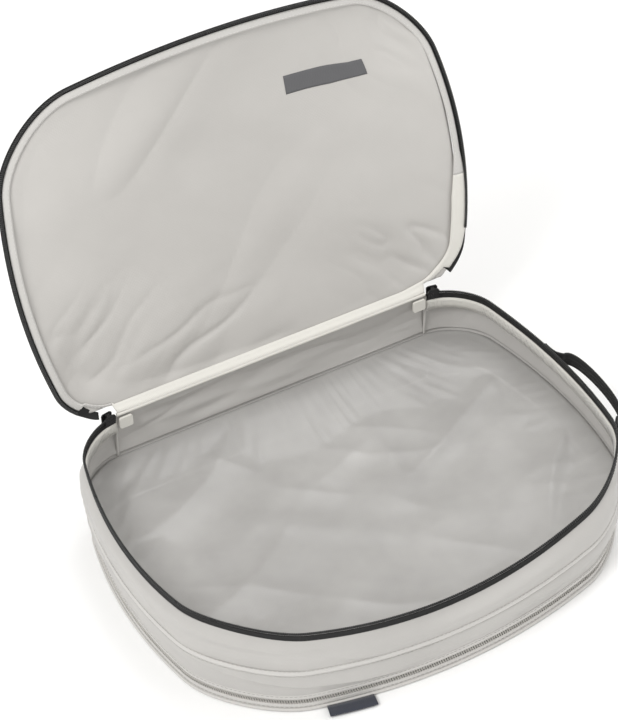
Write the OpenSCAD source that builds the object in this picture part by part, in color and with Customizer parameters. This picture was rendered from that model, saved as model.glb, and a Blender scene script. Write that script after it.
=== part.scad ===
// Two-compartment packing cube of coated ripstop nylon, standing with its lid unzipped and open.
// Origin: centre of the footprint on the table. +X along the long hinge edge, -Y to the front, +Z up.

/* [Overall size] */
// Width across the middle of the two short sides
cube_w = 360; // [340:5:400]
// Depth of the footprint, from the back edge to the middle of the front
cube_d = 265; // [250:5:290]
// Height of the top zipper at the four corners
cube_h = 82; // [78:1:95]
// Angle of the lid from closed
lid_open = 109; // [0:1:180]

/* [Outline] */
// How far each short side bows outward
side_bulge = 20; // [10:1:24]
// How far the rim bows forward
rim_bulge = 23; // [15:1:26]
// How far the base bows forward
base_bulge = 33; // [28:1:36]
// Corner radius beside the hinge
back_r = 30; // [26:1:34]
// Corner radius at the front
front_r = 50; // [40:1:60]
// How far the rim sags in the middle of the front
front_sag = 27; // [15:1:28]
// How far the rim sags in the middle of each side
side_sag = 8; // [5:1:12]

/* [Fabric and seams] */
// Thickness that stands for one layer of fabric with its coating
cloth_t = 0.8; // [0.6:0.1:1]
// Height of the seam that holds the divider
seam_h = 43; // [38:1:46]
// Radius of the top zipper's coil
coil_r = 1.3; // [1:0.1:1.4]
// Radius of the base zipper's coil
base_coil_r = 0.9; // [0.7:0.1:1]
// Width of the top zipper's tape that shows
tape_w = 5.6; // [5:0.1:6]

/* [Handle and label] */
// Width of the handle's webbing
web_w = 11; // [10:1:13]
// Thickness of the handle's webbing
web_t = 1.6; // [1.2:0.1:2]
// How far the handle stands out from the rim
handle_out = 19; // [18:1:26]
// Length of the blank side label along its seam
label_w = 34; // [26:1:40]

/* [Hidden] */

box_w = cube_w - 2 * side_bulge;
box_d = cube_d - base_bulge;
back_y = cube_d / 2;
hinge_z = cube_h + 2;
hinge_len = box_w - 2 * back_r;

// Steps of each stretch of the outline, from the left end of the hinge round the front to the right end.
back_steps = 6;
side_steps = 10;
front_steps = 8;
front_run_steps = 14;
track_n = 2 * (back_steps + side_steps + front_steps) + front_run_steps + 1;
hinge_steps = 10;
loop_n = track_n + hinge_steps - 1;
panel_shares = [0.82, 0.56, 0.28];

// Levels above the table.
base_axis_z = 2;
base_tape_z = [3.4, 6.9];
base_coil_z = [8.0, 10.6];
upper_tape_z = [11.7, 15];
wall_base = 15.2;
lid_lift = 3.4;
lid_skip = 3;
tape_gap = 0.2;
wall_drop = tape_w + coil_r + 2 * tape_gap;

nylon = [0.83, 0.81, 0.78];
binding = [0.9, 0.88, 0.83];
black = [0.06, 0.06, 0.07];
metal = [0.25, 0.25, 0.27];
grey = [0.3, 0.3, 0.32];

// ---------- outline ----------

function arc(cx, cy, r, from, to, n) = [for (i = [0:n - 1]) let (a = from + (to - from) * i / n)
    [cx + r * cos(a), cy + r * sin(a)]];
function run(a, b, n) = [for (i = [0:n - 1]) a + (b - a) * i / n];

// The plain rounded rectangle: left hinge end, left side, front, right side, right hinge end, hinge edge.
function plain_loop() = let (
    hw = box_w / 2, fy = back_y - box_d,
    left = run([-hw, back_y - back_r], [-hw, fy + front_r], side_steps),
    front = run([-hw + front_r, fy], [hw - front_r, fy], front_run_steps),
    right = run([hw, fy + front_r], [hw, back_y - back_r], side_steps))
    concat(
        arc(-hw + back_r, back_y - back_r, back_r, 90, 180, back_steps), left,
        arc(-hw + front_r, fy + front_r, front_r, 180, 270, front_steps), front,
        arc(hw - front_r, fy + front_r, front_r, 270, 360, front_steps), right,
        arc(hw - back_r, back_y - back_r, back_r, 0, 90, back_steps),
        run([hw - back_r, back_y], [-hw + back_r, back_y], hinge_steps));

// Bows the sides and the front outward, and gives the sag of the rim there as a negative z.
function soft(p, bow) = let (u = 2 * p.x / box_w, v = (back_y - p.y) / box_d,
    s = 1 - pow(2 * v - 1, 2))
    [p.x + side_bulge * s * u * abs(u), p.y - bow * (1 - u * u) * v,
     -front_sag * (1 - u * u) * v - side_sag * s * u * u];

PLAIN = plain_loop();
RIM = [for (p = PLAIN) soft(p, rim_bulge)];
BASE = [for (p = PLAIN) soft(p, base_bulge)];

// The loop pushed outward, at height h, with a share of the rim's sag.
// The push is one number, or a list with one for each point.
function ring(loop, h, share = 0, out = 0) = [for (i = [0:loop_n - 1]) let (
    a = loop[(i + loop_n - 1) % loop_n], b = loop[(i + 1) % loop_n],
    t = [b.x - a.x, b.y - a.y] / norm([b.x - a.x, b.y - a.y]), d = is_list(out) ? out[i] : out)
    [loop[i].x + d * t.y, loop[i].y - d * t.x, h + share * loop[i].z]];

function wall_share(h) = (h - wall_base) / (cube_h - wall_base);
function plan_at(s) = [for (i = [0:loop_n - 1]) BASE[i] * (1 - s) + RIM[i] * s];

// Rings of the wall: under the rim by a drop, and beside the divider's seam.
function rim_ring(drop, out = 0) = ring(plan_at(wall_share(cube_h - drop)), cube_h - drop, 1, out);
function seam_ring(dz, out = 0) = let (s = wall_share(seam_h))
    ring(plan_at(s), seam_h + dz, s, out + seam_out);
seam_out = 3;

// Rows from a lower ring to an upper one, with a belly between them.
function rows(low, high, n, belly) = [for (k = [0:n])
    let (s = k / n, b = ring(low, 0, 0, belly * sin(180 * s)))
    [for (i = [0:loop_n - 1]) low[i] * (1 - s) + high[i] * s
        + [b[i].x - low[i].x, b[i].y - low[i].y, 0]]];

function track(loop, skip = 0) = [for (i = [skip:track_n - 1 - skip]) loop[i]];

// The hinge edge of a ring, its two ends drawn in to leave room for the corner seams.
function hinge_run(loop) = let (m = loop_n - track_n + 1)
    [for (k = [0:m]) let (p = loop[(track_n - 1 + k) % loop_n])
        k == 0 ? p - [corner_gap, 0, 0] : k == m ? p + [corner_gap, 0, 0] : p];
corner_gap = 2;

// ---------- solids ----------

// End cap of a section that runs up one face and back down the other.
function cap_faces(start, k, flip) = [for (j = [0:k / 2 - 2]) let (
    a = start + j, b = start + j + 1, c = start + k - 2 - j, d = start + k - 1 - j)
    each (flip ? [[c, b, a], [d, c, a]] : [[a, b, c], [a, c, d]])];

// One cross-section per station, each a list of the same number of points, skinned into one solid.
module sweep(stations, closed = false) {
    k = len(stations[0]);
    n = len(stations);
    last = closed ? n - 1 : n - 2;
    sides = [for (i = [0:last]) for (j = [0:k - 1]) let (i2 = (i + 1) % n, j2 = (j + 1) % k)
        each [[i * k + j2, i2 * k + j2, i2 * k + j], [i * k + j2, i2 * k + j, i * k + j]]];
    caps = closed ? [] : concat(cap_faces(0, k, true), cap_faces((n - 1) * k, k, false));
    polyhedron(points = [for (s = stations) each s], faces = concat(sides, caps));
}

// A strip between an outer and an inner list of rings, lowest first.
module strip(outer, inner, closed = false) {
    k = len(outer);
    sweep([for (i = [0:len(outer[0]) - 1]) concat(
        [for (j = [0:k - 1]) outer[j][i]], [for (j = [k - 1:-1:0]) inner[j][i]])], closed);
}

// A round cord along a ring; ring_out is the same ring pushed outward, and gives the section's plane.
module cord(ring_in, ring_out, r, closed = false, sides = 6) {
    sweep([for (i = [0:len(ring_in) - 1]) let (c = ring_in[i],
        d = (ring_out[i] - c) / norm(ring_out[i] - c))
        [for (j = [0:sides - 1]) let (a = 360 * (j + 0.5) / sides)
            c + r * cos(a) * d + [0, 0, r * sin(a)]]], closed);
}

// A thin dished panel: rings of points from its edge inward, a centre point, and a thickness below them.
module dished(rings, centre, t) {
    n = len(rings[0]);
    m = len(rings);
    low = n * m;
    c = 2 * n * m;
    drop = [0, 0, t];
    skin = [for (k = [0:m - 2]) for (i = [0:n - 1]) let (a = k * n + i, b = k * n + (i + 1) % n)
        each [[a, a + n, b], [b, a + n, b + n],
              [low + b, low + a + n, low + a], [low + b + n, low + a + n, low + b]]];
    hub = [for (i = [0:n - 1]) let (a = (m - 1) * n + i, b = (m - 1) * n + (i + 1) % n)
        each [[a, c, b], [low + b, c + 1, low + a]]];
    edge = [for (i = [0:n - 1]) let (b = (i + 1) % n)
        each [[low + i, i, b], [low + i, b, low + b]]];
    polyhedron(points = concat([for (r = rings) each r], [for (r = rings) for (p = r) p - drop],
        [centre, centre - drop]), faces = concat(skin, hub, edge));
}

// ---------- walls ----------

module wall_u(low_out, low_in, high_out, high_in, belly) {
    strip([for (r = rows(low_out, high_out, 4, belly)) track(r)],
        [for (r = rows(low_in, high_in, 4, belly)) track(r)]);
}

module wall_back(low_out, low_in, high_out, high_in, belly) {
    strip([for (r = rows(low_out, high_out, 4, belly)) hinge_run(r)],
        [for (r = rows(low_in, high_in, 4, belly)) hinge_run(r)]);
}

half_t = cloth_t / 2;
wall_belly = 2.5;
lower_belly = 1.2;
seam_gap = 1.7;

module upper_wall() {
    color(nylon) wall_u(seam_ring(seam_gap, half_t), seam_ring(seam_gap, -half_t),
        rim_ring(wall_drop, half_t), rim_ring(wall_drop, -half_t), wall_belly);
}

module upper_back_wall() {
    color(nylon) wall_back(seam_ring(seam_gap, half_t), seam_ring(seam_gap, -half_t),
        rim_ring(0.1, half_t), rim_ring(0.1, -half_t), wall_belly);
}

module lower_wall() {
    color(nylon) wall_u(ring(BASE, wall_base, 0, half_t), ring(BASE, wall_base, 0, -half_t),
        seam_ring(-seam_gap, half_t), seam_ring(-seam_gap, -half_t), lower_belly);
}

module lower_back_wall() {
    color(nylon) wall_back(ring(BASE, base_tape_z[0] + 0.2, 0, half_t),
        ring(BASE, base_tape_z[0] + 0.2, 0, -half_t),
        seam_ring(-seam_gap, half_t), seam_ring(-seam_gap, -half_t), lower_belly);
}

// A vertical piped seam between a back wall and a side wall, following both.
module corner_seam(low, high, belly, at, inward) {
    r = 0.8;
    sweep([for (row = rows(low, high, 4, belly)) let (p = row[at] + [inward, 0, 0])
        [for (j = [0:5]) p + r * [-cos(60 * j + 30), sin(60 * j + 30), 0]]]);
}

module back_corner_seams() {
    color(binding) for (side = [[0, 1], [track_n - 1, -1]]) {
        corner_seam(ring(BASE, wall_base), seam_ring(-seam_gap), lower_belly, side[0], side[1]);
        corner_seam(seam_ring(seam_gap), rim_ring(wall_drop), wall_belly, side[0], side[1]);
    }
}

fold_h = 1.5;
fold_out = 1.2;
fold_in = 0.9;

// The two sewn layers where the divider's edge is caught between the upper and the lower wall.
module divider_seam() {
    color(binding) strip([seam_ring(-fold_h, fold_out), seam_ring(fold_h, fold_out)],
        [seam_ring(-fold_h, -fold_in), seam_ring(fold_h, -fold_in)], true);
}

// Rings of cloth inside an outline, towards its middle.
function inner_ring(share, bow) = let (c = [0, back_y - box_d / 2])
    [for (p = PLAIN) soft(c + share * (p - c), bow)];
function crown(p) = let (u = 2 * p.x / box_w, v = (back_y - p.y) / box_d)
    max(0, (1 - u * u)) * max(0, 1 - pow(2 * v - 1, 2));

divider_slack = 7;

module divider_panel() {
    s = wall_share(seam_h);
    bow = base_bulge * (1 - s) + rim_bulge * s;
    level = [for (share = panel_shares) [for (p = inner_ring(share, bow))
        [p.x, p.y, seam_h + s * p.z - divider_slack * crown(p)]]];
    mid = soft([0, back_y - box_d / 2], bow);
    color(nylon) dished(concat([seam_ring(half_t, -1.2)], level),
        [mid.x, mid.y, seam_h + s * mid.z - divider_slack], cloth_t);
}

// ---------- rim, hinge and top zipper ----------

module rim_zipper_tape() {
    top = coil_r - 0.5 + tape_gap;
    color(black) strip(
        [track(rim_ring(top + tape_w, half_t)), track(rim_ring(top, half_t))],
        [track(rim_ring(top + tape_w, -half_t)), track(rim_ring(top, -half_t))]);
}

module rim_zipper_coil() {
    color(black) cord(track(rim_ring(-0.5)), track(rim_ring(-0.5, 1)), coil_r);
}

module rim_seam_allowance() {
    low = wall_drop + allowance_low;
    high = wall_drop - allowance_high;
    color(binding) strip(
        [track(rim_ring(low, 0.6)), track(rim_ring(high, -0.7))],
        [track(rim_ring(low, -0.9)), track(rim_ring(high, -1.6))]);
}
allowance_low = 4.5;
allowance_high = 1.5;

module zipper_end_tabs() {
    color(binding) for (side = [-1, 1])
        translate([side * (hinge_len / 2 - tab_in), back_y - tab_y, cube_h - tab_drop])
            rotate([90, 0, 0]) linear_extrude(tab_t, center = true)
                offset(tab_r) square([tab_w, tab_h], center = true);
}
tab_in = 7;
tab_drop = 5.4;
tab_y = 2;
tab_t = 1.8;
tab_w = 8;
tab_h = 7;
tab_r = 1.2;

module hinge_binding() {
    color(binding) translate([-hinge_len / 2 + corner_gap, back_y, hinge_z])
        rotate([0, 90, 0]) cylinder(h = hinge_len - 2 * corner_gap, r = 1.5, $fn = 24);
}

module base_hinge_binding() {
    color(binding) translate([-hinge_len / 2 + corner_gap, back_y, base_axis_z])
        rotate([0, 90, 0]) cylinder(h = hinge_len - 2 * corner_gap, r = 1, $fn = 24);
}

// ---------- lid, drawn closed and then turned about the hinge ----------

module opened() {
    translate([0, back_y, hinge_z]) rotate([-lid_open, 0, 0]) translate([0, -back_y, -hinge_z]) children();
}

lid_crown = 6;
hinge_margin = 2.2;
tape_in = 6;
tape_out = 1.4;
function lid_ramp(y) = min(1, max(0, (back_y - y - hinge_margin) / 4));
function lid_point(p, dz = 0) = [p.x, p.y,
    hinge_z + lid_lift * lid_ramp(p.y) + p.z + lid_crown * crown(p) + dz];

// How far the lid's cloth stays inside the outline: less beside the hinge than behind the tape.
function lid_outs(at_hinge, at_tape) = [for (i = [0:loop_n - 1]) i >= track_n ? -at_hinge : -at_tape];
function lid_ring(outs, dz) = [for (p = ring(RIM, 0, 1, outs)) [p.x, p.y,
    hinge_z + lid_lift * lid_ramp(p.y) + p.z + dz]];

module lid_panel() {
    level = [for (share = panel_shares) [for (p = inner_ring(share, rim_bulge)) lid_point(p, half_t)]];
    mid = soft([0, back_y - box_d / 2], rim_bulge);
    color(nylon) opened() dished(
        concat([lid_ring(lid_outs(hinge_margin, tape_in + tape_gap), half_t)], level),
        lid_point(mid, half_t), cloth_t);
}

function lid_track(z, out = 0) = track(ring(RIM, z, 1, out), lid_skip);

module lid_zipper_tape() {
    z = hinge_z + lid_lift;
    color(black) opened() strip(
        [lid_track(z - half_t, tape_out), lid_track(z + half_t, tape_out)],
        [lid_track(z - half_t, -tape_in), lid_track(z + half_t, -tape_in)]);
}

module lid_zipper_coil() {
    z = hinge_z + lid_lift - half_t - tape_gap - coil_r;
    color(black) opened() cord(lid_track(z), lid_track(z, 1), coil_r);
}

// A line on the lid's cloth, at a share of the way from its edge to the first ring inside, moved by dz.
function lid_between(share, dz) = let (edge = lid_ring(lid_outs(hinge_margin, tape_in + tape_gap), dz))
    [for (i = [0:loop_n - 1]) edge[i] * (1 - share)
        + lid_point(inner_ring(panel_shares[0], rim_bulge)[i], dz) * share];

module lid_seam_binding() {
    color(binding) opened() strip([lid_between(0.03, -1.5), lid_between(0.03, -0.9)],
        [lid_between(0.2, -1.5), lid_between(0.2, -0.9)], true);
}

// A blank printed patch on the lid's outer face, following its curve.
module lid_print_patch() {
    steps = 8;
    color(grey) opened() sweep([for (i = [0:steps]) let (x = patch_x + patch_w * (i / steps - 0.5),
        a = soft([x, patch_y - patch_h / 2], rim_bulge), b = soft([x, patch_y + patch_h / 2], rim_bulge))
        [lid_point(a, patch_z + patch_t), lid_point(b, patch_z + patch_t),
         lid_point(b, patch_z), lid_point(a, patch_z)]]);
}
patch_x = 76;
patch_z = half_t + 0.9;
patch_y = back_y - 178;
patch_w = 60;
patch_h = 13;
patch_t = 0.3;

// ---------- sliders ----------

// The circle that the first stretch of the track follows beside the right end of the hinge.
function circle_through(a, b, c) = let (
    d = 2 * (a.x * (b.y - c.y) + b.x * (c.y - a.y) + c.x * (a.y - b.y)),
    aa = a.x * a.x + a.y * a.y, bb = b.x * b.x + b.y * b.y, cc = c.x * c.x + c.y * c.y)
    [(aa * (b.y - c.y) + bb * (c.y - a.y) + cc * (a.y - b.y)) / d,
     (aa * (c.x - b.x) + bb * (a.x - c.x) + cc * (b.x - a.x)) / d];
turn_centre = circle_through(RIM[track_n - 1], RIM[track_n - 3], RIM[track_n - 4]);
turn_r = norm([RIM[track_n - 1].x, RIM[track_n - 1].y] - turn_centre);
turn_from = atan2(RIM[track_n - 1].y - turn_centre.y, RIM[track_n - 1].x - turn_centre.x);
park_angle = 8;
slider_l = 9;
plate_t = 0.9;

// Places a slider's own frame on the track: X along it, Y outward. Side is 1 right, -1 left.
module on_track(side, z) {
    mirror([side < 0 ? 1 : 0, 0, 0]) translate([turn_centre.x, turn_centre.y, z])
        rotate([0, 0, turn_from - park_angle - 90]) translate([0, turn_r, 0]) children();
}

// Two plates, the post that joins them above the coil, and the headed stud that the pull turns on.
module slider_body(gap, low, high, post_z, stud_z) {
    for (face = [-1, 1])
        translate([0, face * (gap + plate_t / 2), (low + high) / 2]) rotate([90, 0, 0])
            linear_extrude(plate_t, center = true) offset(1.5)
                square([slider_l - 3, high - low - 3], center = true);
    translate([-1.5, -gap - 0.1, post_z]) cube([3, 2 * gap + 0.2, high - 0.4 - post_z]);
    translate([0, gap + plate_t - 0.1, stud_z]) rotate([-90, 0, 0]) {
        cylinder(h = stud_l, r = stud_r, $fn = 24);
        translate([0, 0, stud_l - head_t]) cylinder(h = head_t, r = head_r, $fn = 24);
    }
}

// A flat pull on the slider's stud: a round eye, a narrow stem, then a wider grip, hanging straight down.
module pull_tab(gap, axis_z, stem, grip) {
    translate([0, gap + plate_t + pull_clear, axis_z]) rotate([-90, 0, 0]) difference() {
        union() {
            cylinder(h = pull_t, r = eye_r, $fn = 28);
            translate([-1.5, 0, 0]) cube([3, stem, pull_t]);
            translate([-2.4, stem, 0]) cube([4.8, grip, pull_t]);
        }
        translate([0, 0, -1]) cylinder(h = pull_t + 2, r = eye_hole_r, $fn = 28);
    }
}
stud_l = 2.9;
stud_r = 0.5;
head_t = 0.5;
head_r = 1.1;
eye_r = 1.8;
eye_hole_r = 0.8;
pull_t = 1;
pull_clear = 0.8;

top_gap = coil_r + 0.6;
top_low = -4.6;
top_high = 3.8;
top_post_z = 0.3;
top_stem = 10;
top_grip = 7;
base_gap = base_coil_r + 0.6;
base_slider_z = (base_coil_z[0] + base_coil_z[1]) / 2;
top_stud_z = (top_low + top_high) / 2;
base_low = -3.2;
base_high = 3.4;
base_post_z = 0.7;
base_stem = 4;
base_grip = 3.4;
base_stud_z = (base_low + base_high) / 2;

module left_slider() {
    color(metal) on_track(-1, hinge_z) slider_body(top_gap, top_low, top_high, top_post_z, top_stud_z);
}
module right_slider() {
    color(metal) on_track(1, hinge_z) slider_body(top_gap, top_low, top_high, top_post_z, top_stud_z);
}
module left_pull() { color(black) on_track(-1, hinge_z) pull_tab(top_gap, top_stud_z, top_stem, top_grip); }
module right_pull() { color(black) on_track(1, hinge_z) pull_tab(top_gap, top_stud_z, top_stem, top_grip); }

// The base slider stands on its post, below the coil that stays with the wall.
module base_slider() {
    color(metal) on_track(1, base_slider_z) mirror([0, 0, 1])
        slider_body(base_gap, base_low, base_high, base_post_z, base_stud_z);
}
module base_pull() {
    color(binding) on_track(1, base_slider_z) pull_tab(base_gap, -base_stud_z, base_stem, base_grip);
}

// ---------- handle and label ----------

handle_y = -7;
handle_half = 40;
bartack_y = 51.3;
bartack_x = 2.35;
bartack_t = 0.8;
bartack_l = 9;
bartack_turn = [-13, 9];
handle_drop = 8;
pivot_out = 8.4;
handle_x = cube_w / 2 - 4;
handle_z = cube_h - side_sag - handle_drop + 1;
handle_lean = 4;

module at_handle() {
    translate([handle_x, handle_y, handle_z]) rotate([0, 0, -handle_lean]) children();
}

// The loop of webbing, from one pivot to the other.
module handle_webbing() {
    n = 24;
    reach = handle_out - pivot_out;
    path = [for (i = [0:n]) let (a = 180 * i / n)
        [pivot_out + reach * pow(sin(a), 0.75), -(handle_half - 1) * cos(a), 0]];
    color(black) at_handle() sweep([for (i = [0:n]) let (
        a = path[max(0, i - 1)], b = path[min(n, i + 1)],
        t = (b - a) / norm(b - a), d = [t.y, -t.x, 0] * web_t / 2)
        [path[i] + d - [0, 0, web_w / 2], path[i] + d + [0, 0, web_w / 2],
         path[i] - d + [0, 0, web_w / 2], path[i] - d - [0, 0, web_w / 2]]]);
}

// The sewn ends of the handle, flat on the wall.
module handle_bartacks() {
    color(black) at_handle() for (end = [0, 1])
        translate([bartack_x, (2 * end - 1) * bartack_y, 0]) rotate([0, 0, bartack_turn[end]])
            cube([bartack_t, bartack_l, web_w], center = true);
}

label_x = -86;
label_out = 9;

// A folded woven label with nothing on it, sewn into the base seam and lying outward.
module side_label() {
    at = [for (i = [0:loop_n - 1]) if (abs(BASE[i].x - label_x) < label_w * 0.8 && BASE[i].y < 0) i];
    edge = ring(BASE, 0, 0, 2.4);
    far = ring(BASE, 0, 0, 2.4 + label_out);
    a = point_at(edge, at, label_x - label_w / 2);
    b = point_at(edge, at, label_x + label_w / 2);
    c = point_at(far, at, label_x - label_w / 2);
    d = point_at(far, at, label_x + label_w / 2);
    color(black) sweep([for (s = [0, 0.5, 1]) let (p = a * (1 - s) + b * s, q = c * (1 - s) + d * s)
        [[q.x, q.y, 1.2], [q.x, q.y, 2.6], [p.x, p.y, 2.6], [p.x, p.y, 1.2]]]);
}

// The point of a ring at a given x, among the listed indices.
function point_at(loop, among, x) = let (
    i = [for (k = among) if (loop[k].x <= x && loop[k + 1].x > x) k][0],
    s = (x - loop[i].x) / (loop[i + 1].x - loop[i].x)) loop[i] * (1 - s) + loop[i + 1] * s;

// ---------- base zipper and base flap ----------

module base_strip(z, skip) {
    strip([for (h = z) track(ring(BASE, h, 0, half_t), skip)],
        [for (h = z) track(ring(BASE, h, 0, -half_t), skip)]);
}

module base_cord(z, r, skip, out = 0) {
    cord(track(ring(BASE, z, 0, out), skip), track(ring(BASE, z, 0, out + 1), skip), r);
}

module base_upper_tape() { color(nylon) base_strip(upper_tape_z, 0); }
module base_upper_coil() { color(nylon) base_cord(base_coil_z[1], base_coil_r, 0); }
module base_lower_tape() { color(nylon) base_strip(base_tape_z, lid_skip); }
module base_lower_coil() { color(nylon) base_cord(base_coil_z[0], base_coil_r, lid_skip); }
module base_piping() { color(binding) base_cord(1.7, 1.4, lid_skip, 0.4); }

module base_panel() {
    outline = ring(BASE, 0, 0, [for (i = [0:loop_n - 1]) i >= track_n ? -1.8 : -1.6]);
    color(nylon) linear_extrude(cloth_t) polygon([for (p = outline) [p.x, p.y]]);
}

upper_wall();
upper_back_wall();
lower_wall();
lower_back_wall();
divider_panel();
divider_seam();
back_corner_seams();
hinge_binding();
base_hinge_binding();
rim_zipper_tape();
rim_zipper_coil();
rim_seam_allowance();
zipper_end_tabs();
handle_bartacks();
side_label();
base_upper_tape();
base_upper_coil();
lid_panel();
lid_zipper_tape();
lid_zipper_coil();
lid_seam_binding();
lid_print_patch();
left_slider();
left_pull();
right_slider();
right_pull();
handle_webbing();
base_panel();
base_piping();
base_lower_tape();
base_lower_coil();
base_slider();
base_pull();
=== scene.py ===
"""Soft two-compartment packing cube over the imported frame: cloth, zippers, seams, handle and base."""

from __future__ import annotations

import logging
import math
from dataclasses import dataclass
from enum import Enum

import bpy
import numpy as np
from mathutils import Matrix, Vector


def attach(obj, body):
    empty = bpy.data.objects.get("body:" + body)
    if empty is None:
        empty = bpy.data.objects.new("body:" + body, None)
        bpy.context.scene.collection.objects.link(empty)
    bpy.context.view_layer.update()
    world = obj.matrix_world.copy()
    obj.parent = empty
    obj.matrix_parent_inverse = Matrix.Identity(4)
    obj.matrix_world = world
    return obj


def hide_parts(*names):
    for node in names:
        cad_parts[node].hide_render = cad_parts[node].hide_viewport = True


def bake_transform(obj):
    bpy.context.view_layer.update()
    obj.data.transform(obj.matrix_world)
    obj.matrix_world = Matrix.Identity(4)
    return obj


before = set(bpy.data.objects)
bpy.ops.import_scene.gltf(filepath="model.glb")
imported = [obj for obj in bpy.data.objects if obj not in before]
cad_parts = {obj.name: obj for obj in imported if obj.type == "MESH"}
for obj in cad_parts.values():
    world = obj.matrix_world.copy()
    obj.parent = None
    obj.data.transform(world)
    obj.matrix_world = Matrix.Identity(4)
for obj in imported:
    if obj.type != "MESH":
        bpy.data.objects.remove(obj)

LOG = logging.getLogger("packing_cube")
MM = 0.001
TRACK_COUNT = 460
NOISE_SIZE = 64


class Body(Enum):
    """The bodies that pieces ride on."""

    CUBE = "cube_body"
    LID = "lid"
    HANDLE = "handle"
    FLAP = "base_flap"


class Run(Enum):
    """Which stretch of the outline a piece follows."""

    TRACK = "track"
    HINGE = "hinge"
    LOOP = "loop"


# ---------- outline and levels ----------


@dataclass(frozen=True)
class CubeShape:
    """The cube's outline and its levels, in metres."""

    box_w: float = 0.320
    box_d: float = 0.232
    back_y: float = 0.1325
    hinge_z: float = 0.084
    cube_h: float = 0.082
    back_r: float = 0.030
    front_r: float = 0.050
    side_bulge: float = 0.020
    rim_bulge: float = 0.023
    base_bulge: float = 0.033
    front_sag: float = 0.027
    side_sag: float = 0.008
    wall_base: float = 0.0152
    seam_h: float = 0.043
    seam_out: float = 0.003
    lid_lift: float = 0.0034
    lid_crown: float = 0.006
    lid_open: float = math.radians(109)
    divider_slack: float = 0.007
    hinge_half: float = 0.129
    hinge_gap: float = 2.2 * MM
    ramp_run: float = 4 * MM

    def box_coords(self, plain: np.ndarray) -> tuple[np.ndarray, np.ndarray]:
        """Across-and-along coordinates: -1 to 1 over the width, 0 at the hinge to 1 at the front."""
        return 2 * plain[..., 0] / self.box_w, (self.back_y - plain[..., 1]) / self.box_d

    def soften(self, plain: np.ndarray, bow: float) -> np.ndarray:
        """Bows a plain outline outward and adds the rim's sag.

        Args:
            plain: Points of the rounded rectangle, x and y in the last axis.
            bow: How far the front bows forward.

        Returns:
            Points with x, y, and the sag as a negative z.
        """
        u, v = self.box_coords(plain)
        side = 1 - (2 * v - 1) ** 2
        x = plain[..., 0] + self.side_bulge * side * u * np.abs(u)
        y = plain[..., 1] - bow * (1 - u * u) * v
        z = -self.front_sag * (1 - u * u) * v - self.side_sag * side * u * u
        return np.stack([x, y, z], axis=-1)

    def outline(self, run: Run, count: int) -> np.ndarray:
        """Evenly spaced points of the plain outline.

        Args:
            run: The stretch of the outline.
            count: How many points.

        Returns:
            An array of x and y, from the left hinge end round the front, or from right to left at the hinge.
        """
        half, front = self.box_w / 2, self.back_y - self.box_d
        corners = (
            (-half + self.back_r, self.back_y - self.back_r, self.back_r, 90),
            (-half + self.front_r, front + self.front_r, self.front_r, 180),
            (half - self.front_r, front + self.front_r, self.front_r, 270),
            (half - self.back_r, self.back_y - self.back_r, self.back_r, 360),
        )
        points = []
        for cx, cy, radius, start in corners:
            for angle in np.radians(np.linspace(start, start + 90, 40)):
                points.append((cx + radius * math.cos(angle), cy + radius * math.sin(angle)))
        track = np.array(points)
        if run is Run.HINGE:
            track = np.array([track[-1], track[0]])
        if run is Run.LOOP:
            track = np.vstack([track, track[:1]])
        steps = np.r_[0, np.cumsum(np.linalg.norm(np.diff(track, axis=0), axis=1))]
        wanted = np.linspace(0, steps[-1], count, endpoint=run is not Run.LOOP)
        return np.stack([np.interp(wanted, steps, track[:, k]) for k in (0, 1)], axis=-1)

    def wall_share(self, height: float) -> float:
        """0 at the foot of the wall and 1 at the rim."""
        return (height - self.wall_base) / (self.cube_h - self.wall_base)

    def ring(self, plain: np.ndarray, mix: float, height: float, share: float, out: float) -> np.ndarray:
        """One level of the wall.

        Args:
            plain: Points of the plain outline.
            mix: 0 for the base's outline, 1 for the rim's.
            height: Height before the sag.
            share: Share of the rim's sag.
            out: Push outward.

        Returns:
            Points of the level.
        """
        level = self.soften(plain, self.base_bulge * (1 - mix) + self.rim_bulge * mix)
        around = np.linalg.norm(plain[0] - plain[-1]) < 0.02
        along = np.roll(level, -1, 0) - np.roll(level, 1, 0) if around else np.gradient(level, axis=0)
        along = along[:, :2] / np.linalg.norm(along[:, :2], axis=1)[:, None]
        level[:, 0] += out * along[:, 1]
        level[:, 1] -= out * along[:, 0]
        level[:, 2] = height + share * level[:, 2]
        return level

    def rim(self, plain: np.ndarray, drop: float, out: float = 0.0) -> np.ndarray:
        """A level at a drop under the rim."""
        height = self.cube_h - drop
        return self.ring(plain, self.wall_share(height), height, 1, out)

    def seam(self, plain: np.ndarray, lift: float, out: float = 0.0) -> np.ndarray:
        """A level beside the divider's seam."""
        share = self.wall_share(self.seam_h)
        return self.ring(plain, share, self.seam_h + lift, share, self.seam_out + out)

    def foot(self, plain: np.ndarray, height: float, out: float = 0.0) -> np.ndarray:
        """A flat level on the base's outline."""
        return self.ring(plain, 0, height, 0, out)

    def crown(self, plain: np.ndarray) -> np.ndarray:
        """1 in the middle of the box and 0 at its edges."""
        u, v = self.box_coords(plain)
        return np.clip(1 - u * u, 0, 1) * np.clip(1 - (2 * v - 1) ** 2, 0, 1)

    def opened(self, points: np.ndarray) -> np.ndarray:
        """Turns points of the closed lid to where the lid rests open.

        Args:
            points: Points on the closed lid.

        Returns:
            The same points on the open lid.
        """
        pivot = np.array([0, self.back_y, self.hinge_z])
        c, s = math.cos(-self.lid_open), math.sin(-self.lid_open)
        turn = np.array([[1, 0, 0], [0, c, -s], [0, s, c]])
        return (points - pivot) @ turn.T + pivot

    def lid_ramp(self, y: np.ndarray) -> np.ndarray:
        """0 at the lid's hinge edge and 1 where the lid has risen to its full lift."""
        return np.clip((self.back_y - y - self.hinge_gap) / self.ramp_run, 0, 1)

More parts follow.
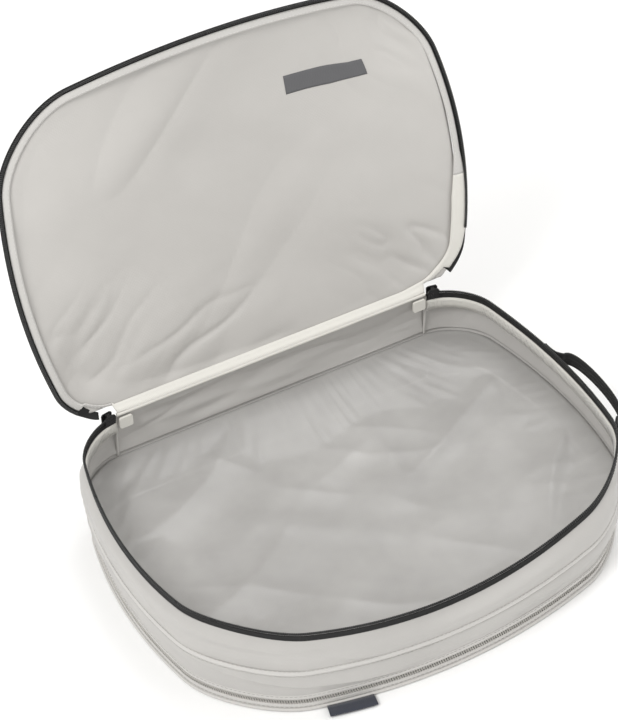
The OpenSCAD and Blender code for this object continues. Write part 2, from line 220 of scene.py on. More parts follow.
    def lid_level(self, plain: np.ndarray, lift: float, out: float) -> np.ndarray:
        """A line along the closed lid's edge, turned open.

        Args:
            plain: Points of the plain outline.
            lift: Height over the lid's cloth.
            out: Push outward from the rim's outline.

        Returns:
            Points on the open lid.
        """
        level = self.ring(plain, 1, self.hinge_z, 1, out)
        level[:, 2] += self.lid_lift * self.lid_ramp(level[:, 1]) + lift
        return self.opened(level)

    def filled(self, across: int, along: int, inset: tuple[float, float]) -> np.ndarray:
        """A grid of plain points that fills the rounded outline.

        Args:
            across: Points over the width.
            along: Points over the depth.
            inset: How far the grid stays inside at the hinge, and everywhere else.

        Returns:
            An array of rows from the hinge to the front, with x and y in the last axis.
        """
        hinge, edge = inset
        low = np.array([-self.box_w / 2 + edge, self.back_y - self.box_d + edge])
        high = np.array([self.box_w / 2 - edge, self.back_y - hinge])
        centre, half = (low + high) / 2, (high - low) / 2
        b, a = np.meshgrid(np.linspace(1, -1, along), np.linspace(-1, 1, across), indexing="ij")
        unit = np.stack([a, b], axis=-1)
        reach = np.maximum(np.abs(a), np.abs(b))
        edge_point = unit / np.maximum(reach, 1e-9)[..., None] * half
        radius = np.where(b > 0, self.back_r - edge, self.front_r - edge)
        pull = np.ones_like(reach)
        hub = half - radius[..., None]
        away = np.abs(edge_point)
        corner = (away[..., 0] > hub[..., 0]) & (away[..., 1] > hub[..., 1])
        dd = (away ** 2).sum(-1)
        dh = (away * hub).sum(-1)
        hh = (hub ** 2).sum(-1)
        root = np.sqrt(np.clip(dh ** 2 - dd * (hh - radius ** 2), 0, None))
        pull[corner] = np.clip((dh + root) / dd, 0, 1)[corner]
        return centre + unit * half * (1 + (pull - 1) * reach ** 3)[..., None]


# ---------- folds ----------


class Folds:
    """Repeatable smooth noise that shapes folds and creases."""

    def __init__(self, seed: int) -> None:
        """Draws the noise table from its seed."""
        self.table = np.random.default_rng(seed).random((NOISE_SIZE, NOISE_SIZE))

    def noise(self, x: np.ndarray, y: np.ndarray) -> np.ndarray:
        """Smooth noise at each point.

        Args:
            x: Place across, in cells of the noise table.
            y: Place along, in cells of the noise table.

        Returns:
            Noise from 0 to 1.
        """
        xi, yi = np.floor(x).astype(int), np.floor(y).astype(int)
        fx, fy = x - xi, y - yi
        fx, fy = fx * fx * (3 - 2 * fx), fy * fy * (3 - 2 * fy)
        corner = [[self.table[(yi + j) % NOISE_SIZE, (xi + i) % NOISE_SIZE] for i in (0, 1)] for j in (0, 1)]
        low = corner[0][0] * (1 - fx) + corner[0][1] * fx
        high = corner[1][0] * (1 - fx) + corner[1][1] * fx
        return low * (1 - fy) + high * fy

    def soft(self, x: np.ndarray, y: np.ndarray, angle: float, length: float, width: float) -> np.ndarray:
        """Long soft folds.

        Args:
            x: Place across, in metres.
            y: Place along, in metres.
            angle: Direction of the folds, in degrees.
            length: Length of one fold.
            width: Width of one fold.

        Returns:
            Height from -1 to 1.
        """
        c, s = math.cos(math.radians(angle)), math.sin(math.radians(angle))
        a, b = (x * c + y * s) / length, (-x * s + y * c) / width
        total = self.noise(a + 7, b + 3) + 0.5 * self.noise(2 * a + 31, 2 * b + 17)
        return total / 0.75 - 1

    def crease(self, x: np.ndarray, y: np.ndarray, angle: float, length: float, width: float) -> np.ndarray:
        """Folds with a sharper top, from 0 to 1, in the same terms as soft."""
        return (1 - np.abs(self.soft(x, y, angle, length, width))) ** 3


# ---------- meshes ----------


def grid_normals(grid: np.ndarray) -> np.ndarray:
    """Unit normals of a grid of points."""
    normal = np.cross(np.gradient(grid, axis=1), np.gradient(grid, axis=0))
    return normal / np.maximum(np.linalg.norm(normal, axis=-1), 1e-12)[..., None]


def link_mesh(name: str, points: np.ndarray, faces: list[tuple[int, ...]]) -> bpy.types.Object:
    """Makes a smooth-shaded object from points and faces.

    Args:
        name: Name of the piece.
        points: Its points, with x, y and z in the last axis.
        faces: The numbers of the points round each face.

    Returns:
        The new object.
    """
    mesh = bpy.data.meshes.new(name)
    mesh.from_pydata(points.reshape(-1, 3).tolist(), [], faces)
    mesh.polygons.foreach_set("use_smooth", [True] * len(mesh.polygons))
    mesh.update()
    piece = bpy.data.objects.new(name, mesh)
    bpy.context.scene.collection.objects.link(piece)
    return piece


def grid_faces(rows: int, columns: int, around: bool = False) -> list[tuple[int, ...]]:
    """Faces of a grid of points.

    Args:
        rows: Rows of points.
        columns: Points in each row.
        around: Whether each row closes on itself.

    Returns:
        The faces, row by row.
    """
    faces = []
    for j in range(rows - 1):
        for i in range(columns if around else columns - 1):
            k = (i + 1) % columns
            faces.append((j * columns + i, j * columns + k, (j + 1) * columns + k, (j + 1) * columns + i))
    return faces


def tube_faces(rings: int, sides: int, first: int = 0, around: bool = False) -> list[tuple[int, ...]]:
    """Faces that join rings of points into a tube, with a cap on each open end.

    Args:
        rings: How many rings.
        sides: Points in each ring.
        first: Number of the first point.
        around: Whether the last ring joins the first.

    Returns:
        The faces, ring by ring, and then the caps.
    """
    faces = []
    for i in range(rings if around else rings - 1):
        here, there = first + i * sides, first + ((i + 1) % rings) * sides
        for j in range(sides):
            k = (j + 1) % sides
            faces.append((here + j, here + k, there + k, there + j))
    if not around:
        last = first + rings * sides - 1
        faces.append(tuple(range(first, first + sides)))
        faces.append(tuple(range(last, last - sides, -1)))
    return faces


def cloth_grid(name: str, grid: np.ndarray, thickness: float, around: bool = False) -> bpy.types.Object:
    """Makes a sheet from a grid of points, with its real lengths as texture coordinates.

    Args:
        name: Name of the piece.
        grid: Points in rows and columns.
        thickness: Thickness of the sheet.
        around: Whether each row closes on itself.

    Returns:
        The sheet, thickened evenly on both faces.
    """
    rows, columns = grid.shape[:2]
    piece = link_mesh(name, grid, grid_faces(rows, columns, around))
    middle = grid[rows // 2]
    across = np.r_[0, np.cumsum(np.linalg.norm(np.diff(middle, axis=0), axis=1))]
    down = np.r_[0, np.cumsum(np.linalg.norm(np.diff(grid[:, columns // 2], axis=0), axis=1))]
    layer = piece.data.uv_layers.new(name="cut")
    corner = np.empty(len(piece.data.loops), dtype=int)
    piece.data.loops.foreach_get("vertex_index", corner)
    cut = np.stack([across[corner % columns], down[corner // columns]], axis=-1)
    layer.data.foreach_set("uv", cut.ravel())
    solid = piece.modifiers.new("thickness", "SOLIDIFY")
    solid.thickness = thickness
    solid.offset = 0
    return piece


def tube(name: str, path: np.ndarray, radius: float, sides: int, around: bool = False) -> bpy.types.Object:
    """Sweeps a round thread or cord along a path.

    Args:
        name: Name of the piece.
        path: Points of the path.
        radius: Radius of the cord.
        sides: Sides of its section.
        around: Whether the path closes on itself.

    Returns:
        The cord.
    """
    along = np.roll(path, -1, 0) - np.roll(path, 1, 0) if around else np.gradient(path, axis=0)
    along /= np.maximum(np.linalg.norm(along, axis=1), 1e-12)[:, None]
    helper = np.tile([0.13, 0.21, 0.97], (len(path), 1))
    side = np.cross(along, helper)
    side /= np.maximum(np.linalg.norm(side, axis=1), 1e-12)[:, None]
    up = np.cross(side, along)
    turn = 2 * math.pi * np.arange(sides) / sides
    section = np.cos(turn)[None, :, None] * side[:, None] + np.sin(turn)[None, :, None] * up[:, None]
    points = path[:, None] + radius * section
    return link_mesh(name, points, tube_faces(len(path), sides, around=around))


def resample(path: np.ndarray, count: int) -> np.ndarray:
    """Spaces points evenly along a path.

    Args:
        path: Points of the path.
        count: How many points to make.

    Returns:
        The new points.
    """
    steps = np.r_[0, np.cumsum(np.linalg.norm(np.diff(path, axis=0), axis=1))]
    wanted = np.linspace(0, steps[-1], count)
    return np.stack([np.interp(wanted, steps, path[:, k]) for k in range(3)], axis=-1)


def path_length(path: np.ndarray) -> float:
    """Length of a path."""
    return float(np.linalg.norm(np.diff(path, axis=0), axis=1).sum())


def stitch_row(
    name: str, path: np.ndarray, out: np.ndarray, pitch: float, radius: float
) -> bpy.types.Object:
    """A row of separate stitches that lie on a surface.

    Args:
        name: Name of the piece.
        path: The seam line.
        out: Outward direction at each point of the path.
        pitch: Distance from one stitch to the next.
        radius: Radius of the thread.

    Returns:
        The stitches as one piece.
    """
    sides, rings = 6, 5
    count = max(2, int(path_length(path) / pitch))
    line = resample(path, count * 4 + 1)
    lift = resample(out, count * 4 + 1)
    turn = 2 * math.pi * np.arange(sides) / sides
    points, faces = [], []
    for s in range(count):
        a, b = line[s * 4], line[s * 4 + 3]
        along = (b - a) / max(np.linalg.norm(b - a), 1e-9)
        up = lift[s * 4 + 1] / max(np.linalg.norm(lift[s * 4 + 1]), 1e-9)
        side = np.cross(along, up)
        first = len(points)
        for r in range(rings):
            t = r / (rings - 1)
            swell = math.sin(math.pi * (0.12 + 0.76 * t))
            centre = a * (1 - t) + b * t + up * radius * (swell - 0.3)
            for angle in turn:
                points.append(centre + radius * swell * (math.cos(angle) * side + math.sin(angle) * up))
        faces.extend(tube_faces(rings, sides, first))
    return link_mesh(name, np.array(points), faces)


def coil(name: str, path: np.ndarray, flat: np.ndarray, radius: float, pitch: float) -> bpy.types.Object:
    """A zipper's coil: one monofilament wound along the path.

    Args:
        name: Name of the piece.
        path: Middle of the coil.
        flat: Direction across the tape at each point.
        radius: Outer radius of the coil.
        pitch: Distance from one turn to the next.

    Returns:
        The wound coil.
    """
    steps, wire_share, flatness, wire_sides = 9, 0.3, 0.82, 5
    turns = int(path_length(path) / pitch)
    line = resample(path, turns * steps + 1)
    across = resample(flat, turns * steps + 1)
    across /= np.linalg.norm(across, axis=1)[:, None]
    along = np.gradient(line, axis=0)
    along /= np.linalg.norm(along, axis=1)[:, None]
    up = np.cross(along, across)
    turn = 2 * math.pi * np.arange(len(line)) / steps
    wire = radius * wire_share
    wound = line + (radius - wire) * (np.cos(turn)[:, None] * across + flatness * np.sin(turn)[:, None] * up)
    return tube(name, wound, wire, wire_sides)


@dataclass(frozen=True)
class Settling:
    """How a pinned sheet falls slack as cloth."""

    slack: float = 0.006
    frames: int = 18
    quality: int = 5
    mass: float = 0.08
    stretch: float = 30
    shear: float = 12
    bending: float = 2.5
    air: float = 4
    gravity: float = 0.25

    def settle(self, piece: bpy.types.Object, pinned: np.ndarray, cap: float) -> None:
        """Lets the sheet fall slack, and keeps the shape that it takes.

        Args:
            piece: The sheet, before it is thickened for good.
            pinned: Which points stay where they are sewn.
            cap: The furthest that a point may move.
        """
        before = np.array([v.co for v in piece.data.vertices])
        solid = piece.modifiers["thickness"]
        solid.show_viewport = False
        pins = piece.vertex_groups.new(name="sewn")
        pins.add(np.flatnonzero(pinned).tolist(), 1.0, "REPLACE")
        cloth = piece.modifiers.new("settle", "CLOTH")
        self.set_cloth(cloth)
        for step in range(1, self.frames + 1):
            bpy.context.scene.frame_set(step)
        posed = piece.evaluated_get(bpy.context.evaluated_depsgraph_get())
        after = np.array([v.co for v in posed.data.vertices])
        piece.modifiers.remove(cloth)
        piece.vertex_groups.clear()
        solid.show_viewport = True
        move = after - before
        size = np.linalg.norm(move, axis=1)
        move *= np.minimum(1, cap / np.maximum(size, 1e-9))[:, None]
        piece.data.vertices.foreach_set("co", (before + move).ravel())
        piece.data.update()
        bpy.context.scene.frame_set(1)

    def set_cloth(self, cloth: bpy.types.Modifier) -> None:
        """Gives a cloth modifier these settings.

        Args:
            cloth: The modifier.
        """
        cloth.settings.quality = self.quality
        cloth.settings.mass = self.mass
        cloth.settings.tension_stiffness = self.stretch
        cloth.settings.compression_stiffness = self.stretch
        cloth.settings.shear_stiffness = self.shear
        cloth.settings.bending_stiffness = self.bending
        cloth.settings.air_damping = self.air
        cloth.settings.vertex_group_mass = "sewn"
        cloth.settings.shrink_min = -self.slack
        cloth.settings.effector_weights.gravity = self.gravity
        cloth.collision_settings.use_collision = False
        cloth.collision_settings.use_self_collision = False


def edge_pins(rows: int, columns: int) -> np.ndarray:
    """Marks the outer points of a grid.

    Args:
        rows: Rows of points.
        columns: Points in each row.

    Returns:
        True at each outer point, row by row.
    """
    mask = np.zeros((rows, columns), dtype=bool)
    mask[0] = mask[-1] = True
    mask[:, 0] = mask[:, -1] = True
    return mask.ravel()


# ---------- materials ----------


class NodeKit:
    """Short ways to wire one node tree."""

    def __init__(self, tree: bpy.types.NodeTree) -> None:
        """Keeps the tree."""
        self.tree = tree

    def add(self, kind: str, **settings: object) -> bpy.types.Node:
        """Adds a node and sets its properties.

        Args:
            kind: The node's type.
            **settings: Its properties and their values.

        Returns:
            The node.
        """
        node = self.tree.nodes.new(kind)
        for key, value in settings.items():
            setattr(node, key, value)
        return node

    def wire(self, source: bpy.types.NodeSocket, target: bpy.types.NodeSocket) -> None:
        """Links two sockets."""
        self.tree.links.new(source, target)

    def math(self, operation: str, first: object, second: object = 0.0) -> bpy.types.NodeSocket:
        """Adds a math node on sockets or numbers.

        Args:
            operation: What the node does.
            first: Its first socket or number.
            second: Its second socket or number.

        Returns:
            The node's result.
        """
        node = self.add("ShaderNodeMath", operation=operation)
        for socket, value in zip(node.inputs, (first, second)):
            if isinstance(value, bpy.types.NodeSocket):
                self.wire(value, socket)
            else:
                socket.default_value = float(value)
        return node.outputs[0]

    def noise(self, vector: bpy.types.NodeSocket, scale: object, detail: float) -> bpy.types.NodeSocket:
        """Adds a noise mask.

        Args:
            vector: Where the noise is read.
            scale: Its scale, as a socket or a number.
            detail: How many finer layers it has.

        Returns:
            The mask.
        """
        node = self.add("ShaderNodeTexNoise")
        node.inputs["Detail"].default_value = detail
        self.wire(vector, node.inputs["Vector"])
        if isinstance(scale, bpy.types.NodeSocket):
            self.wire(scale, node.inputs["Scale"])
        else:
            node.inputs["Scale"].default_value = scale
        return node.outputs["Fac"]


class Effects:
    """The shader node groups that several finishes share."""

    def __init__(self) -> None:
        """Builds each group once."""
        self.weave = self.build_weave()
        self.wear = self.build_wear()

    @staticmethod
    def start(name: str, inputs: dict[str, float], outputs: list[str]) -> tuple[NodeKit, object, object]:
        """Begins a node group.

        Args:
            name: Name of the group.
            inputs: Number inputs and their values. A Vector input is always first.
            outputs: Names of the number outputs.
        """
        tree = bpy.data.node_groups.new(name, "ShaderNodeTree")
        tree.interface.new_socket(name="Vector", in_out="INPUT", socket_type="NodeSocketVector")
        for key, value in inputs.items():
            socket = tree.interface.new_socket(name=key, in_out="INPUT", socket_type="NodeSocketFloat")
            socket.default_value = value
        for key in outputs:
            tree.interface.new_socket(name=key, in_out="OUTPUT", socket_type="NodeSocketFloat")
        kit = NodeKit(tree)
        return kit, kit.add("NodeGroupInput"), kit.add("NodeGroupOutput")

    def build_weave(self) -> bpy.types.NodeTree:
        """Plain weave with a thicker ripstop thread at a regular spacing, as a height."""
        inputs = {"Threads": 1800.0, "Ripstop": 160.0, "Rib": 0.4}
        rib_width, weave_height = 0.12, 0.5
        kit, source, sink = self.start("cloth weave", inputs, ["Height"])
        split = kit.add("ShaderNodeSeparateXYZ")
        kit.wire(source.outputs["Vector"], split.inputs[0])
        waves = []
        ribs = []
        for axis in (0, 1):
            thread = kit.math("MULTIPLY", split.outputs[axis], source.outputs["Threads"])
            waves.append(kit.math("SINE", thread))
            cell = kit.math("FRACT", kit.math("MULTIPLY", split.outputs[axis], source.outputs["Ripstop"]))
            ribs.append(kit.math("LESS_THAN", cell, rib_width))
        plain = kit.math("MULTIPLY", waves[0], waves[1])
        rib = kit.math("MULTIPLY", kit.math("MAXIMUM", ribs[0], ribs[1]), source.outputs["Rib"])
        kit.wire(kit.math("ADD", kit.math("MULTIPLY", plain, weave_height), rib), sink.inputs["Height"])
        return kit.tree

    def build_wear(self) -> bpy.types.NodeTree:
        """Cloudy variation at a large and a small scale, as two masks."""
        kit, source, sink = self.start("cloth wear", {"Large": 14.0, "Small": 90.0}, ["Cloud", "Grain"])
        kit.wire(kit.noise(source.outputs["Vector"], source.outputs["Large"], 3), sink.inputs["Cloud"])
        kit.wire(kit.noise(source.outputs["Vector"], source.outputs["Small"], 5), sink.inputs["Grain"])
        return kit.tree


@dataclass(frozen=True)
class Finish:
    """One finish: its two tones, gloss and weave."""

    name: str
    light: tuple[float, float, float]
    dark: tuple[float, float, float]
    roughness: float = 0.55
    alpha: float = 1.0
    cloudy: float = 0.0
    threads: float = 3000.0
    ripstop: float = 0.0
    rib: float = 0.0
    bump: float = 0.2
    metallic: float = 0.0
    sheen: float = 0.0
    flat_cut: bool = False

    def build(self, effects: Effects) -> bpy.types.Material:
        """Makes the material.

        Args:
            effects: The shared node groups.

        Returns:
            The finished material.
        """
        material = bpy.data.materials.new(self.name)
        material.use_nodes = True
        kit = NodeKit(material.node_tree)
        shader = next(n for n in material.node_tree.nodes if n.type == "BSDF_PRINCIPLED")
        place = kit.add("ShaderNodeTexCoord")
        body = place.outputs["Object"]
        cut = place.outputs["UV"] if self.flat_cut else body
        wear = kit.add("ShaderNodeGroup", node_tree=effects.wear)
        kit.wire(body, wear.inputs["Vector"])
        weave = kit.add("ShaderNodeGroup", node_tree=effects.weave)
        kit.wire(cut, weave.inputs["Vector"])
        weave.inputs["Threads"].default_value = self.threads
        weave.inputs["Ripstop"].default_value = self.ripstop
        weave.inputs["Rib"].default_value = self.rib
        tone = kit.add("ShaderNodeMix", data_type="RGBA")
        blend = kit.math("ADD", kit.math("MULTIPLY", wear.outputs["Cloud"], 0.7),
                         kit.math("MULTIPLY", wear.outputs["Grain"], 0.3))
        raised = kit.math("MULTIPLY", weave.outputs["Height"], -0.08)
        kit.wire(kit.math("SUBTRACT", blend, raised), tone.inputs["Factor"])
        tone.inputs["A"].default_value = (*self.dark, 1)
        tone.inputs["B"].default_value = (*self.light, 1)
        kit.wire(tone.outputs["Result"], shader.inputs["Base Color"])
        gloss = kit.math("ADD", kit.math("MULTIPLY", wear.outputs["Grain"], 0.24), self.roughness - 0.12)
        kit.wire(gloss, shader.inputs["Roughness"])
        bump = kit.add("ShaderNodeBump")
        bump.inputs["Strength"].default_value = self.bump
        bump.inputs["Distance"].default_value = 0.0002
        height = kit.math("ADD", weave.outputs["Height"], wear.outputs["Grain"])
        kit.wire(height, bump.inputs["Height"])
        kit.wire(bump.outputs["Normal"], shader.inputs["Normal"])
        if self.alpha < 1:
            cloud = kit.math("MULTIPLY", kit.math("SUBTRACT", wear.outputs["Cloud"], 0.5), self.cloudy)
            kit.wire(kit.math("ADD", cloud, self.alpha), shader.inputs["Alpha"])
        shader.inputs["Metallic"].default_value = self.metallic
        shader.inputs["Sheen Weight"].default_value = self.sheen
        return material


class Palette:
    """Every finish of the cube, built once."""

    def __init__(self) -> None:
        """Builds the materials."""
        effects = Effects()
        finishes = (
            Finish("lid nylon", (0.575, 0.558, 0.532), (0.51, 0.494, 0.47), roughness=0.5, alpha=0.955,
                   cloudy=0.03, threads=2400, ripstop=200, rib=0.1, bump=0.15, sheen=0.05, flat_cut=True),
            Finish("wall nylon", (0.58, 0.565, 0.541), (0.49, 0.476, 0.456), roughness=0.42, alpha=0.86,
                   cloudy=0.08, threads=2400, ripstop=200, rib=0.1, bump=0.15, sheen=0.05, flat_cut=True),
            Finish("divider nylon", (0.58, 0.568, 0.55), (0.42, 0.41, 0.396), roughness=0.36, alpha=0.62,
                   cloudy=0.3, threads=2400, ripstop=200, rib=0.08, bump=0.12, flat_cut=True),
            Finish("cream binding", (0.76, 0.742, 0.69), (0.69, 0.674, 0.624), 0.7, bump=0.5, threads=5200,
                   sheen=0.1),
            Finish("pale tape", (0.61, 0.595, 0.57), (0.54, 0.526, 0.504), 0.6, bump=0.5, threads=5200,
                   sheen=0.05),
            Finish("white thread", (0.80, 0.79, 0.765), (0.70, 0.69, 0.67), 0.75, bump=0.4, threads=9000,
                   sheen=0.2),
            Finish("grey thread", (0.42, 0.41, 0.39), (0.34, 0.33, 0.31), 0.75, bump=0.4, threads=9000,
                   sheen=0.2),
            Finish("black tape", (0.016, 0.016, 0.016), (0.008, 0.008, 0.008), 0.85, bump=0.8, threads=5200),
            Finish("black coil", (0.040, 0.040, 0.040), (0.018, 0.018, 0.018), 0.3, bump=0.1),
            Finish("pale coil", (0.66, 0.64, 0.60), (0.56, 0.54, 0.51), 0.4, bump=0.1),
            Finish("black webbing", (0.020, 0.020, 0.020), (0.009, 0.009, 0.009), 0.8, bump=1.0,
                   threads=4200, sheen=0.03),
            Finish("black enamel", (0.05, 0.05, 0.052), (0.02, 0.02, 0.022), 0.28, bump=0.05, metallic=0.7),
            Finish("pale enamel", (0.60, 0.58, 0.55), (0.5, 0.48, 0.46), 0.35, bump=0.05, metallic=0.5),
            Finish("dark pull", (0.03, 0.03, 0.032), (0.015, 0.015, 0.017), 0.5, bump=0.2),
            Finish("label weave", (0.05, 0.055, 0.075), (0.025, 0.028, 0.04), 0.8, bump=0.9, threads=6400,
                   sheen=0.2),
            Finish("grey print", (0.13, 0.13, 0.135), (0.09, 0.09, 0.095), 0.6, bump=0.3),
        )
        self.made = {finish.name: finish.build(effects) for finish in finishes}

    def dress(self, piece: bpy.types.Object, finish: str, slot: str) -> bpy.types.Object:
        """Gives a piece its finish.

        Args:
            piece: The piece.
            finish: Name of the finish.
            slot: Not used.

        Returns:
            The same piece.
        """
        piece.data.materials.clear()
        piece.data.materials.append(self.made[finish])
        return piece

    def fit(self, piece: bpy.types.Object, finish: str, slot: str, body: Body, *nodes: str) -> None:
        """Dresses a piece, and makes it ride on a body and stand for its parts.

        Args:
            piece: The piece.
            finish: Name of the finish.
            slot: Name of the slot.
            body: The body that it rides on.
            *nodes: The parts that it stands for.
        """
        self.dress(piece, finish, slot)
        if nodes:
            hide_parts(*nodes)
        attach(piece, body.value)

    def dress_node(self, name: str, finish: str, rounding: float = 0.0) -> None:
        """Gives a carried-over part its finish, and rounds its edges.

        Args:
            name: Name of the part.
            finish: Name of the finish.
            rounding: Radius of its rounded edges, or 0.
        """
        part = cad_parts[name]
        for index in range(max(1, len(part.material_slots))):
            if not part.material_slots:
                part.data.materials.append(None)
            part.material_slots[index].link = "OBJECT"
            part.material_slots[index].material = self.made[finish]
        if rounding:
            bevel = part.modifiers.new("rounding", "BEVEL")
            bevel.width = rounding
            bevel.segments = 3
            bevel.limit_method = "ANGLE"


# ---------- sub-assemblies ----------


@dataclass(frozen=True)
class TopCoil:
    """The black coil of the top zipper, the same on the rim and on the lid."""

    palette: Palette
    radius: float = 0.0013
    pitch: float = 0.0015
    core_share: float = 0.55

    def build(self, label: str, middle: np.ndarray, across: np.ndarray, body: Body, node: str) -> None:
        """Builds the winding and the core that it is wound on.

        Args:
            label: First word of the pieces' names.
            middle: Middle of the coil.
            across: Direction across the tape at each point.
            body: The body that it rides on.
            node: The part that it stands for.
        """
        teeth = coil(f"{label}_coil_winding", middle, across, self.radius, self.pitch)
        self.palette.fit(teeth, "black coil", "zipper_coil", body, node)
        core = tube(f"{label}_coil_core", middle, self.radius * self.core_share, 8)
        self.palette.fit(core, "black tape", "zipper_tape", body)


@dataclass(frozen=True)
class WallPart:
    """One cloth of the walls: its two levels and its folds."""

    name: str
    node: str
    low: np.ndarray
    high: np.ndarray
    belly: float
    seed: int
    ridge: float


@dataclass
class Walls:
    """The upper and lower walls with their piped seams."""

    shape: CubeShape
    palette: Palette
    cloth_t: float = 0.0004
    belly_upper: float = 0.0025
    belly_lower: float = 0.0012
    seam_gap: float = 1.4 * MM
    gather: float = 0.35 * MM
    fade_run: float = 22 * MM
    columns: int = 420

    def rows(self, low: np.ndarray, high: np.ndarray, count: int, belly: float) -> np.ndarray:
        """Rows of cloth from a lower level to an upper one.

        Args:
            low: Points of the lower level.
            high: Points of the upper level.
            count: How many rows.
            belly: How far the middle pushes outward.

        Returns:
            The grid of the wall.
        """
        share = np.linspace(0, 1, count)[:, None, None]
        grid = low[None] * (1 - share) + high[None] * share
        normal = grid_normals(grid)
        normal[..., 2] = 0
        return grid + normal * belly * np.sin(math.pi * share)

    def folded(self, grid: np.ndarray, seed: int, ridge: float, fine: float) -> np.ndarray:
        """Adds folds that run along the rim and short gathers at the seams.

        Args:
            grid: The smooth wall.
            seed: Seed of the folds.
            ridge: Height of the long ridges.
            fine: Height of the short gathers.

        Returns:
            The folded wall.
        """
        folds = Folds(seed)
        share = np.linspace(0, 1, len(grid))[:, None]
        held = np.sin(math.pi * share) ** 0.6
        reach = np.linalg.norm(np.diff(grid[0], axis=0), axis=1).sum()
        run = np.linspace(0, reach, grid.shape[1])
        held = held * np.clip(np.minimum(run, reach - run) / self.fade_run, 0, 1)[None]
        line = np.r_[0, np.cumsum(np.linalg.norm(np.diff(grid[len(grid) // 2], axis=0), axis=1))]
        x = np.broadcast_to(line, grid.shape[:2])
        y = share * np.linalg.norm(grid[-1] - grid[0], axis=-1)[None]
        height = ridge * folds.soft(x, y, 3, 0.14, 0.014)
        height += ridge * 1.1 * (folds.crease(x, y, -7, 0.12, 0.020) - 0.3)
        height += fine * folds.soft(x, y, 84, 0.05, 0.009) * (0.35 + np.abs(2 * share - 1))
        return grid + grid_normals(grid) * (height * held)[..., None]

    def build(self) -> None:
        """Builds the cloth of both walls, the divider's seam and the corner seams."""
        shape = self.shape
        u = shape.outline(Run.TRACK, self.columns)
        back = shape.outline(Run.HINGE, 130)
        gap, upper, lower = self.seam_gap, self.belly_upper, self.belly_lower
        parts = (
            WallPart("upper_wall_cloth", "upper_wall", shape.seam(u, gap), shape.rim(u, 5.0 * MM),
                     upper, seed=11, ridge=1.9),
            WallPart("upper_back_cloth", "upper_back_wall", shape.seam(back, gap),
                     shape.rim(back, -1.2 * MM), upper, seed=12, ridge=2.6),
            WallPart("lower_wall_cloth", "lower_wall", shape.foot(u, 14.8 * MM), shape.seam(u, -gap),
                     lower, seed=13, ridge=1.5),
            WallPart("lower_back_cloth", "lower_back_wall", shape.foot(back, 3.2 * MM),
                     shape.seam(back, -gap), lower, seed=14, ridge=1.0),
        )
        for part in parts:
            rows = self.rows(part.low, part.high, 34, part.belly)
            grid = self.folded(rows, part.seed, part.ridge * MM, self.gather)
            piece = cloth_grid(part.name, grid, self.cloth_t)
            self.palette.fit(piece, "wall nylon", "shell_nylon", Body.CUBE, part.node)
        self.build_divider_seam()
        self.build_corners()

    def build_divider_seam(self) -> None:
        """Builds the sewn ridge where the divider is caught, with a row of stitches on each side."""
        loop = self.shape.outline(Run.LOOP, TRACK_COUNT)
        profile = ((-2.3, 0.2), (-1.3, 0.6), (-0.5, 1.3), (0.5, 1.3), (1.3, 0.6), (2.3, 0.2))
        grid = np.stack([self.shape.seam(loop, lift * MM, out * MM) for lift, out in profile])
        ridge = cloth_grid("divider_seam_fold", grid, 0.5 * MM, around=True)
        self.palette.fit(ridge, "pale tape", "seam_binding", Body.CUBE, "divider_seam")
        for label, lift in (("upper", 2.7), ("lower", -2.7)):
            line = self.shape.seam(loop, lift * MM, 0.8 * MM)
            out = line - self.shape.seam(loop, lift * MM, -0.2 * MM)
            row = stitch_row(f"divider_stitches_{label}", line, out, 3.2 * MM, 0.17 * MM)
            self.palette.fit(row, "grey thread", "seam_binding", Body.CUBE)
        LOG.info("divider seam built")

    def build_corners(self) -> None:
        """Builds the piped seams at the two back corners."""
        shape = self.shape
        ends = shape.outline(Run.TRACK, self.columns)
        levels = np.linspace(0, 1, 40)
        paths = []
        for index in (0, -1):
            low = shape.foot(ends, 3.4 * MM)[index]
            middle = shape.seam(ends, 0)[index]
            high = shape.rim(ends, 0.5 * MM)[index]
            line = [low * (1 - 2 * t) + middle * 2 * t for t in levels if t < 0.5]
            line += [middle * (2 - 2 * t) + high * (2 * t - 1) for t in levels if t >= 0.5]
            paths.append(np.array(line) + np.array([0, 0.3 * MM, 0]))
        for label, path in zip(("left", "right"), paths):
            cord = tube(f"{label}_corner_piping", path, 0.9 * MM, 12)
            nodes = ["back_corner_seams"] if label == "left" else []
            self.palette.fit(cord, "pale tape", "seam_binding", Body.CUBE, *nodes)
        LOG.info("corner piping built")


@dataclass
class Divider:
    """The see-through panel between the two compartments."""

    shape: CubeShape
    palette: Palette
    across: int = 150
    along: int = 112

    def build(self) -> None:
        """Builds the panel, lets it fall slack, and dresses it."""
        shape = self.shape
        plain = shape.filled(self.across, self.along, (-1.6 * MM, -1.6 * MM))
        share = shape.wall_share(shape.seam_h)
        grid = shape.soften(plain, shape.base_bulge * (1 - share) + shape.rim_bulge * share)
        crown = shape.crown(plain)
        folds = Folds(21)
        x, y = plain[..., 0], plain[..., 1]
        free = np.clip(crown * 6, 0, 1)
        grid[..., 2] = shape.seam_h + share * grid[..., 2] - shape.divider_slack * crown
        grid[..., 2] += free * 4.0 * MM * folds.soft(x, y, 24, 0.2, 0.06)
        grid[..., 2] += free * 4.0 * MM * (folds.crease(x, y, 38, 0.2, 0.07) - 0.2)
        grid[..., 2] += free * 1.6 * MM * folds.crease(x, y, -32, 0.12, 0.04)
        panel = cloth_grid("divider_cloth", grid, 0.3 * MM)
        Settling().settle(panel, edge_pins(self.along, self.across), 7 * MM)
        self.palette.fit(panel, "divider nylon", "divider_nylon", Body.CUBE, "divider_panel")
        LOG.info("divider built")


